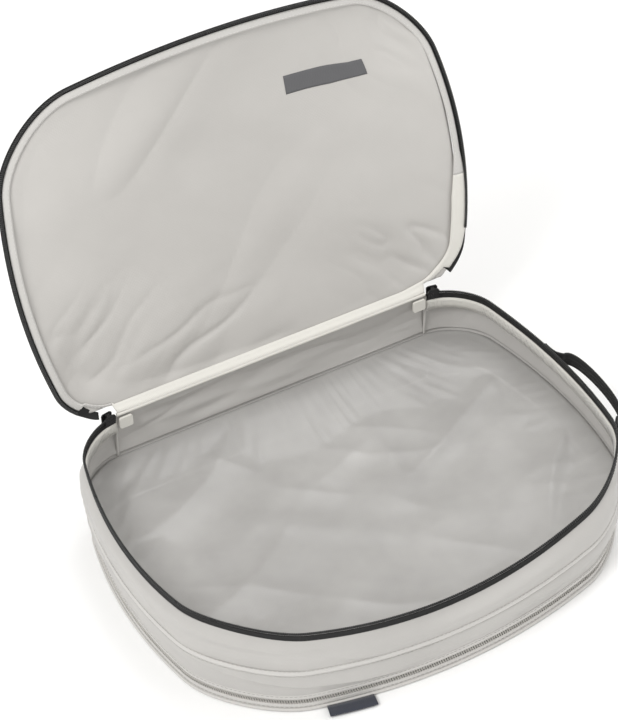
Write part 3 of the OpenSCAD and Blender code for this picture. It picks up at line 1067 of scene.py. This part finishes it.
@dataclass
class Rim:
    """The top zipper's lower half, its seam allowance and the hinge's binding."""

    shape: CubeShape
    palette: Palette
    waviness: float = 0.25 * MM
    allowance_t: float = 0.5 * MM

    def build(self) -> None:
        """Builds the tape, coil, overlocked allowance and bindings."""
        shape = self.shape
        u = shape.outline(Run.TRACK, TRACK_COUNT)
        line = np.arange(TRACK_COUNT) * 2 * MM
        waves = self.waviness * Folds(31).soft(line, np.zeros(TRACK_COUNT), 0, 0.03, 1)
        rows = [shape.rim(u, drop * MM, 0.15 * MM) for drop in (5.1, 4.4, 3.4, 2.4, 1.5, 0.9)]
        grid = np.stack(rows)
        grid[..., 2] += waves
        tape = cloth_grid("rim_tape_cloth", grid, 0.7 * MM)
        self.palette.fit(tape, "black tape", "zipper_tape", Body.CUBE, "rim_zipper_tape")
        middle = shape.rim(u, -0.5 * MM)
        across = shape.rim(u, -1.5 * MM) - middle
        TopCoil(self.palette).build("rim", middle, across, Body.CUBE, "rim_zipper_coil")
        self.build_allowance(u)
        self.build_stitches(u)
        self.build_binding("hinge_fold", Body.CUBE, self.shape.hinge_z, 1.5 * MM, "hinge_binding")
        self.build_binding("base_hinge_fold", Body.CUBE, 2 * MM, 1.0 * MM, "base_hinge_binding")
        self.palette.dress_node("zipper_end_tabs", "cream binding", 0.5 * MM)
        LOG.info("rim zipper built: %.0f mm of coil", path_length(middle) / MM)

    def build_allowance(self, u: np.ndarray) -> None:
        """Builds the seam allowance inside the wall, with its overlocked edge.

        Args:
            u: The whole outline.
        """
        shape = self.shape
        profile = ((13.4, -1.6), (10.2, -1.4), (7.2, -1.0), (4.9, -0.6))
        rows = [shape.rim(u, drop * MM, out * MM) for drop, out in profile]
        grid = np.stack(rows)
        fray = Folds(32)
        line = np.arange(len(u)) * 2 * MM
        grid[0, :, 2] += 0.5 * MM * fray.soft(line, np.zeros(len(u)), 0, 0.008, 1)
        band = cloth_grid("rim_allowance_cloth", grid, self.allowance_t)
        self.palette.fit(band, "cream binding", "seam_binding", Body.CUBE, "rim_seam_allowance")
        fine = shape.outline(Run.TRACK, 1100)
        high, low = shape.rim(fine, 6.4 * MM, -1.3 * MM), shape.rim(fine, 13.2 * MM, -2.1 * MM)
        zigzag = np.where((np.arange(len(fine)) % 2 == 0)[:, None], high, low)
        thread = tube("rim_overlock_thread", zigzag, 0.24 * MM, 5)
        self.palette.fit(thread, "white thread", "seam_binding", Body.CUBE)

    def build_stitches(self, u: np.ndarray) -> None:
        """Builds the row of black stitches that holds the tape to the wall.

        Args:
            u: The whole outline.
        """
        line = self.shape.rim(u, 4.3 * MM, 0.62 * MM)
        out = line - self.shape.rim(u, 4.3 * MM, -0.38 * MM)
        row = stitch_row("rim_tape_stitches", line, out, 2.8 * MM, 0.16 * MM)
        self.palette.fit(row, "black coil", "zipper_tape", Body.CUBE)

    def build_binding(self, name: str, body: Body, height: float, radius: float, node: str) -> None:
        """Builds a rolled binding along the hinge edge.

        Args:
            name: Name of the piece.
            body: The body that it rides on.
            height: Height of its middle.
            radius: Mean radius of the roll.
            node: The part that it stands for.
        """
        count, sides = 220, 14
        fold = Folds(int(height * 10000))
        x = np.linspace(-self.shape.hinge_half, self.shape.hinge_half, count)
        turn = 2 * math.pi * np.arange(sides) / sides
        a, t = np.meshgrid(x, turn, indexing="ij")
        r = radius * (1 + 0.12 * fold.soft(a, t * 0.002, 20, 0.012, 0.01))
        points = np.stack([a, self.shape.back_y + r * np.cos(t), height + r * np.sin(t)], axis=-1)
        roll = link_mesh(name, points, tube_faces(count, sides))
        self.palette.fit(roll, "cream binding", "seam_binding", body, node)


@dataclass
class Lid:
    """The lid's cloth with its zipper half, binding and printed patch."""

    shape: CubeShape
    palette: Palette
    across: int = 190
    along: int = 140
    cloth_t: float = 0.0004
    binding_t: float = 0.35 * MM
    edge_inset: float = 6.0 * MM
    notch_x: float = 0.125
    notch_run: float = 0.004
    notch_depth: float = 5.0 * MM
    patch_x: float = 0.076
    patch_y: float = -0.0455
    patch_w: float = 0.060
    patch_h: float = 0.013
    bright_run: float = 0.085
    bare_run: float = 0.030
    slider_room: float = 0.0072

    def cloth(self) -> np.ndarray:
        """The lid's grid, closed, with its folds."""
        shape = self.shape
        plain = shape.filled(self.across, self.along, (shape.hinge_gap, self.edge_inset))
        notch = np.clip((np.abs(plain[..., 0]) - self.notch_x) / self.notch_run, 0, 1)
        plain[..., 1] = np.minimum(plain[..., 1], shape.back_y - shape.hinge_gap - self.notch_depth * notch)
        grid = shape.soften(plain, shape.rim_bulge)
        crown = shape.crown(plain)
        ramp = shape.lid_ramp(grid[..., 1])
        grid[..., 2] += shape.hinge_z + shape.lid_lift * ramp + shape.lid_crown * crown
        folds = Folds(41)
        x, y = plain[..., 0], plain[..., 1]
        u, v = shape.box_coords(plain)
        free = np.clip(crown * 7, 0, 1)
        left = np.clip(0.75 - 0.6 * u, 0, 1)
        grid[..., 2] += free * left * 7.0 * MM * folds.soft(x, y, -38, 0.26, 0.075)
        grid[..., 2] += free * left * 3.6 * MM * (folds.crease(x, y, -44, 0.24, 0.08) - 0.25)
        grid[..., 2] += free * 1.8 * MM * folds.soft(x, y, 35, 0.09, 0.04)
        pinches = ((0.86, 0.9, 42), (0.8, 0.16, 43), (-0.85, 0.2, 44), (-0.3, 0.1, 45))
        for cu, cv, seed in pinches:
            near = np.exp(-((u - cu) ** 2 + (2 * (v - cv)) ** 2) / 0.09)
            grid[..., 2] += free * near * 2.6 * MM * Folds(seed).crease(x, y, 50 * cu, 0.06, 0.016)
        return grid

    def build(self) -> None:
        """Builds the lid's cloth and everything sewn to it."""
        shape = self.shape
        grid = shape.opened(self.cloth())
        panel = cloth_grid("lid_cloth", grid, self.cloth_t)
        Settling().settle(panel, edge_pins(self.along, self.across), 6 * MM)
        self.palette.fit(panel, "lid nylon", "shell_nylon", Body.LID, "lid_panel")
        settled = np.array([v.co for v in panel.data.vertices]).reshape(grid.shape)
        self.build_patch(settled)
        self.build_zipper()
        self.build_edge()
        LOG.info("lid built")

    def build_zipper(self) -> None:
        """Builds the tape and coil round the lid's free edge."""
        shape = self.shape
        u = shape.outline(Run.TRACK, TRACK_COUNT)
        profile = ((-6.6, 0.0), (-5.0, 0.05), (-3.0, 0.1), (-1.0, 0.1), (0.4, 0.0), (1.2, -0.3))
        rows = [shape.lid_level(u, lift * MM, out * MM) for out, lift in profile]
        raised = [shape.lid_level(u, 0.9 * MM, out * MM) for out in (-2.6, -1.8, -1.0, -0.2, 0.6, 1.2)]
        wide = np.clip((np.arange(len(u)) - 4) / 12, 0, 1)[None, :, None]
        grid = np.stack(rows) * wide + np.stack(raised) * (1 - wide)
        tape_part, coil_part = slice(7, -14), slice(16, -34)
        tape = cloth_grid("lid_tape_cloth", grid[:, tape_part], 0.7 * MM)
        self.palette.fit(tape, "black tape", "zipper_tape", Body.LID, "lid_zipper_tape")
        middle = shape.lid_level(u, -1.9 * MM, 0)[coil_part]
        across = shape.lid_level(u, -1.9 * MM, 1 * MM)[coil_part] - middle
        TopCoil(self.palette).build("lid", middle, across, Body.LID, "lid_zipper_coil")

    def build_edge(self) -> None:
        """Builds the stitched binding inside the zipper, bright beside the hinge and dull elsewhere; the
        dull piece is narrower and is a dimmer copy of the binding that paints shade.
        """
        shape = self.shape
        loop = shape.outline(Run.LOOP, 500)
        at_hinge = np.abs(loop[:, 1] - shape.back_y) < 1e-6
        rows = []
        beside = (loop[:, 0] > 0) & (loop[:, 1] > shape.back_y - self.bright_run)
        covers = beside & (loop[:, 1] < shape.back_y - self.bare_run)
        inner = np.where(at_hinge, 7.7, np.where(beside, 12.3, 7.8)) * MM
        outer = np.where(at_hinge, 0.3, np.where(covers, -1.6, 2.4)) * MM
        at_slider = (np.abs(loop[:, 0]) > shape.hinge_half) & (loop[:, 1] > shape.back_y - 0.010)
        for share, lift in ((1.0, -1.3), (0.75, -1.5), (0.45, -1.4), (0.15, -1.1), (0.0, -0.6)):
            push = outer + (inner - outer) * share
            push = np.convolve(np.r_[push[-8:], push, push[:8]], np.ones(17) / 17, "valid")
            clear = self.slider_room * (1 + 0.3 * share)
            push = np.round(np.where(at_slider, np.maximum(push, clear), push), 5)
            level = np.empty((len(loop), 3))
            for amount in np.unique(push):
                level[push == amount] = shape.lid_level(loop, lift * MM, -amount)[push == amount]
            rows.append(level)
        grid = np.stack(rows)
        turn = int(np.flatnonzero(beside)[0])
        bright_grid = np.concatenate([grid[:, turn:], grid[:, :1]], axis=1)
        bright = cloth_grid("lid_binding_cloth", bright_grid, self.binding_t)
        self.palette.fit(bright, "cream binding", "seam_binding", Body.LID, "lid_seam_binding")
        # Painted shade: away from the hinge and the right side, the binding is a dimmer copy in the pale
        # tape finish, not the cream one.
        dull = cloth_grid("lid_binding_shaded_cloth", grid[:, :turn + 1], self.binding_t)
        self.palette.fit(dull, "pale tape", "seam_binding", Body.LID)
        for label, index in (("inner", 1), ("outer", 3)):
            line = rows[index]
            out = grid_normals(np.stack(rows))[index]
            if out[0] @ np.array([0, -1, 0.3]) < 0:
                out = -out
            raised = line + out * 0.2 * MM
            row = stitch_row(f"lid_binding_stitches_{label}", raised, out, 3.0 * MM, 0.15 * MM)
            self.palette.fit(row, "white thread", "seam_binding", Body.LID)

    def build_patch(self, cloth: np.ndarray) -> None:
        """Builds the blank printed patch, which shows on both faces of the lid.

        Args:
            cloth: The lid's grid where it rests.
        """
        plain = self.shape.filled(self.across, self.along, (self.shape.hinge_gap, self.edge_inset))
        inside = np.abs(plain[..., 0] - self.patch_x) < self.patch_w / 2
        inside &= np.abs(plain[..., 1] - self.patch_y) < self.patch_h / 2
        rows, columns = np.flatnonzero(inside.any(1)), np.flatnonzero(inside.any(0))
        part = (slice(rows[0], rows[-1] + 1), slice(columns[0], columns[-1] + 1))
        normal = grid_normals(cloth)[part]
        layers = np.concatenate([cloth[part] + normal * 0.35 * MM, cloth[part] - normal * 0.35 * MM])
        count, wide = layers.shape[:2]
        upper = grid_faces(count // 2, wide)
        lower = [tuple(point + count // 2 * wide for point in face) for face in upper]
        patch = link_mesh("lid_print_mark", layers, upper + lower)
        solid = patch.modifiers.new("thickness", "SOLIDIFY")
        solid.thickness = 0.1 * MM
        solid.offset = 0
        self.palette.fit(patch, "grey print", "print_grey", Body.LID, "lid_print_patch")


@dataclass
class Handle:
    """The loop of webbing on the right short side."""

    shape: CubeShape
    palette: Palette
    place_at: tuple[float, float, float] = (0.176, -0.007, 0.067)
    lean: float = math.radians(-4)
    half: float = 0.039
    pivot: float = 0.0084
    out: float = 0.019
    width: float = 0.011
    thick: float = 0.0016

    def world(self, points: np.ndarray) -> np.ndarray:
        """Moves points from the handle's own frame to the cube's.

        Args:
            points: Points in the handle's frame.

        Returns:
            The points in the cube's frame.
        """
        c, s = math.cos(self.lean), math.sin(self.lean)
        turn = np.array([[c, -s, 0], [s, c, 0], [0, 0, 1]])
        return points @ turn.T + np.array(self.place_at)

    def build(self) -> None:
        """Builds the webbing and dresses its sewn ends."""
        angles = np.linspace(0, math.pi, 90)
        stand = self.pivot + (self.out - self.pivot) * np.sin(angles) ** 0.75
        loop = np.stack([stand, -self.half * np.cos(angles)], axis=-1)
        tail = np.array([[2.8, -55], [2.9, -52], [3.7, -47.5], [4.9, -43.5], [6.9, -40.6]]) * MM
        end = np.array([[6.9, 40.6], [4.7, 43.5], [3.6, 47.5], [3.0, 52], [2.8, 55]]) * MM
        flat = np.vstack([tail, loop, end])
        path = resample(np.c_[flat, np.zeros(len(flat))], 150)
        along = np.gradient(path, axis=0)
        along /= np.linalg.norm(along, axis=1)[:, None]
        out = np.cross(along, [0, 0, 1])
        columns = np.linspace(-0.5, 0.5, 13)
        grid = np.stack([
            path + np.array([0, 0, c * self.width]) + out * 0.35 * MM * (math.cos(c * 6.283 * 3) - 1)
            for c in columns
        ])
        strap = cloth_grid("handle_strap", self.world(grid), self.thick * 0.85)
        self.palette.dress(strap, "black webbing", "webbing")
        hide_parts("handle_webbing")
        start, stop = self.world(np.array([[3.8 * MM, 0, 0], [9.6 * MM, 0, 0]]))
        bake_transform(strap)
        self.palette.dress_node("handle_bartacks", "black webbing", 0.2 * MM)
        LOG.info("handle built: %.0f mm of webbing", path_length(path) / MM)


@dataclass
class Base:
    """The base flap with its tone-on-tone zipper, piping and blank label."""

    shape: CubeShape
    palette: Palette
    coil_r: float = 0.00122
    flap_start: int = 14
    gusset_out: float = -3.4 * MM
    gusset_h: float = 12 * MM
    label_x: float = -0.086
    label_w: float = 0.034
    label_out: float = 0.009

    def build(self) -> None:
        """Builds the base panel, both tapes and coils, the piping and the label."""
        shape = self.shape
        plain = shape.filled(120, 90, (1.8 * MM, 1.6 * MM))
        grid = shape.soften(plain, shape.base_bulge)
        folds = Folds(51)
        soft = folds.soft(plain[..., 0], plain[..., 1], 20, 0.12, 0.05)
        grid[..., 2] = 0.5 * MM + 0.6 * MM * (1 + soft) / 2
        panel = cloth_grid("base_cloth", grid, 0.4 * MM)
        self.palette.fit(panel, "wall nylon", "shell_nylon", Body.FLAP, "base_panel")
        u = shape.outline(Run.TRACK, TRACK_COUNT)
        flap = u[self.flap_start:-self.flap_start]
        self.build_tape("base_upper_tape_cloth", u, (15.4, 14.4, 12.6, 11.2), Body.CUBE, "base_upper_tape")
        self.build_tape("base_lower_tape_cloth", flap, (7.4, 6.0, 4.4, 3.0), Body.FLAP, "base_lower_tape")
        self.build_coil("base_upper_winding", u, 10.6, Body.CUBE, "base_upper_coil")
        self.build_coil("base_lower_winding", flap, 8.0, Body.FLAP, "base_lower_coil")
        cord = tube("base_piping_cord", shape.foot(flap, 1.7 * MM, 0.4 * MM), 1.4 * MM, 12)
        self.palette.fit(cord, "pale tape", "seam_binding", Body.FLAP, "base_piping")
        self.build_gussets(u)
        self.build_stitches(flap)
        self.build_label(u)
        for node, finish in (("base_slider", "pale enamel"), ("base_pull", "pale enamel")):
            self.palette.dress_node(node, finish, 0.2 * MM)
        LOG.info("base built")

    def build_gussets(self, u: np.ndarray) -> None:
        """Builds the cloth behind the two ends of the base zipper.

        Args:
            u: The whole outline.
        """
        heights = (3.0, 6.0, 9.0, 12.0, 15.0)
        for label, part in (("left", slice(0, 22)), ("right", slice(-22, None))):
            rows = [self.shape.foot(u, height * MM, self.gusset_out)[part] for height in heights]
            gusset = cloth_grid(f"{label}_base_gusset", np.stack(rows), 0.4 * MM)
            self.palette.fit(gusset, "wall nylon", "shell_nylon", Body.CUBE)

    def build_tape(self, name: str, u: np.ndarray, levels: tuple[float, ...], body: Body, node: str) -> None:
        """Builds one tape of the base zipper.

        Args:
            name: Name of the piece.
            u: The stretch of the outline that it follows.
            levels: Heights of its rows, in millimetres.
            body: The body that it rides on.
            node: The part that it stands for.
        """
        grid = np.stack([self.shape.foot(u, level * MM, 0.2 * MM) for level in levels])
        tape = cloth_grid(name, grid, 0.6 * MM)
        self.palette.fit(tape, "pale tape", "pale_zipper", body, node)

    def build_coil(self, name: str, u: np.ndarray, level: float, body: Body, node: str) -> None:
        """Builds one coil of the base zipper.

        Args:
            name: Name of the piece.
            u: The stretch of the outline that it follows.
            level: Height of its middle, in millimetres.
            body: The body that it rides on.
            node: The part that it stands for.
        """
        middle = self.shape.foot(u, level * MM)
        across = np.tile([0.0, 0.0, 1.0], (len(u), 1))
        winding = coil(name, middle, across, self.coil_r, 1.8 * MM)
        self.palette.fit(winding, "pale coil", "pale_zipper", body, node)

    def build_stitches(self, flap: np.ndarray) -> None:
        """Builds the rows of stitches beside the base zipper.

        Args:
            flap: The stretch of the outline that the flap opens along.
        """
        for name, level, body in (("upper", 14.2, Body.CUBE), ("lower", 4.2, Body.FLAP)):
            line = self.shape.foot(flap, level * MM, 0.6 * MM)
            out = line - self.shape.foot(flap, level * MM, -0.4 * MM)
            row = stitch_row(f"base_stitches_{name}", line, out, 3.2 * MM, 0.18 * MM)
            self.palette.fit(row, "grey thread", "pale_zipper", body)

    def build_label(self, u: np.ndarray) -> None:
        """Builds the blank folded label at the front's left.

        Args:
            u: The whole outline.
        """
        edge = self.shape.foot(u, 0, 2.2 * MM)
        far = self.shape.foot(u, 0, 2.2 * MM + self.label_out)
        near = (np.abs(edge[:, 0] - self.label_x) < self.label_w / 2) & (edge[:, 1] < 0)
        a, b = resample(edge[near], 40), resample(far[near], 40)
        under = ((0.0, 1.3), (0.35, 1.5), (0.7, 1.35), (0.95, 1.2), (1.0, 1.7))
        over = ((0.95, 2.3), (0.7, 2.5), (0.35, 2.7), (0.0, 2.5))
        rows = []
        for share, height in under + over:
            row = a * (1 - share) + b * share
            row[:, 2] = height * MM
            rows.append(row)
        label = cloth_grid("side_label_cloth", np.stack(rows), 0.35 * MM)
        self.palette.fit(label, "label weave", "label_cloth", Body.FLAP, "side_label")


@dataclass
class Sliders:
    """The zipper sliders and their pulls, which keep their parts' own shapes."""

    palette: Palette
    rounding: float = 0.00025

    def build(self) -> None:
        """Dresses the sliders and pulls."""
        for side in ("left", "right"):
            self.palette.dress_node(f"{side}_slider", "black enamel", self.rounding)
            self.palette.dress_node(f"{side}_pull", "dark pull", self.rounding)
        LOG.info("sliders dressed")


# ---------- studio ----------


@dataclass
class Studio:
    """The pale floor, soft lights and camera."""

    target: tuple[float, float, float] = (0.01886, 0.11415, 0.082)
    azimuth: float = math.radians(-27.486)
    elevation: float = math.radians(40.725)
    roll: float = math.radians(-2.836)
    distance: float = 1.8181
    lens: float = 124.04

    def build(self) -> None:
        """Builds the floor, the lights and the camera."""
        bpy.ops.mesh.primitive_plane_add(size=8, location=(0, 0, -0.0002))
        floor = bpy.context.object
        floor.name = "studio_floor"
        paint = bpy.data.materials.new("studio floor")
        paint.use_nodes = True
        shader = next(n for n in paint.node_tree.nodes if n.type == "BSDF_PRINCIPLED")
        shader.inputs["Base Color"].default_value = (0.97, 0.97, 0.965, 1)
        shader.inputs["Roughness"].default_value = 0.9
        floor.data.materials.append(paint)
        bpy.context.scene.view_settings.view_transform = "Standard"
        world = bpy.data.worlds.new("studio")
        bpy.context.scene.world = world
        world.use_nodes = True
        world.node_tree.nodes["Background"].inputs["Color"].default_value = (1.0, 0.993, 0.982, 1)
        world.node_tree.nodes["Background"].inputs["Strength"].default_value = 0.66
        self.lamp("key", (-1.3, -0.5, 1.6), 0.7, 20)
        self.lamp("fill", (1.4, -1.2, 1.0), 1.2, 7)
        self.lamp("top", (0.6, 0.5, 1.9), 0.8, 12)
        self.build_camera()

    def lamp(self, name: str, spot: tuple[float, float, float], size: float, power: float) -> None:
        """Adds one soft area light that faces the cube.

        Args:
            name: Name of the light.
            spot: Where it stands.
            size: Length of its side.
            power: Its power in watts.
        """
        data = bpy.data.lights.new(name, "AREA")
        data.size = size
        data.energy = power
        light = bpy.data.objects.new(name, data)
        light.location = spot
        light.rotation_euler = (Vector((0, 0.05, 0.1)) - Vector(spot)).to_track_quat("-Z", "Y").to_euler()
        bpy.context.scene.collection.objects.link(light)

    def build_camera(self) -> None:
        """Adds the camera at the reference viewing angle."""
        a, e = self.azimuth, self.elevation
        back = Vector((math.sin(a) * math.cos(e), -math.cos(a) * math.cos(e), math.sin(e)))
        right = (-back).cross(Vector((0, 0, 1))).normalized()
        up = right.cross(-back)
        tilted = right * math.cos(self.roll) + up * math.sin(self.roll)
        top = up * math.cos(self.roll) - right * math.sin(self.roll)
        data = bpy.data.cameras.new("camera")
        data.lens = self.lens
        data.sensor_width = 36
        data.clip_start = 0.05
        camera = bpy.data.objects.new("camera", data)
        turn = Matrix((tilted, top, back)).transposed()
        camera.matrix_world = Matrix.Translation(Vector(self.target) + back * self.distance) @ turn.to_4x4()
        bpy.context.scene.collection.objects.link(camera)
        bpy.context.scene.camera = camera


def main() -> None:
    """Builds the studio and every sub-assembly."""
    logging.basicConfig(level=logging.INFO, format="%(name)s: %(message)s")
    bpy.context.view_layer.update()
    Studio().build()
    shape, palette = CubeShape(), Palette()
    Walls(shape, palette).build()
    Divider(shape, palette).build()
    Rim(shape, palette).build()
    Lid(shape, palette).build()
    Handle(shape, palette).build()
    Base(shape, palette).build()
    Sliders(palette).build()
    LOG.info("boxes written")


if __name__ == "__main__":
    main()
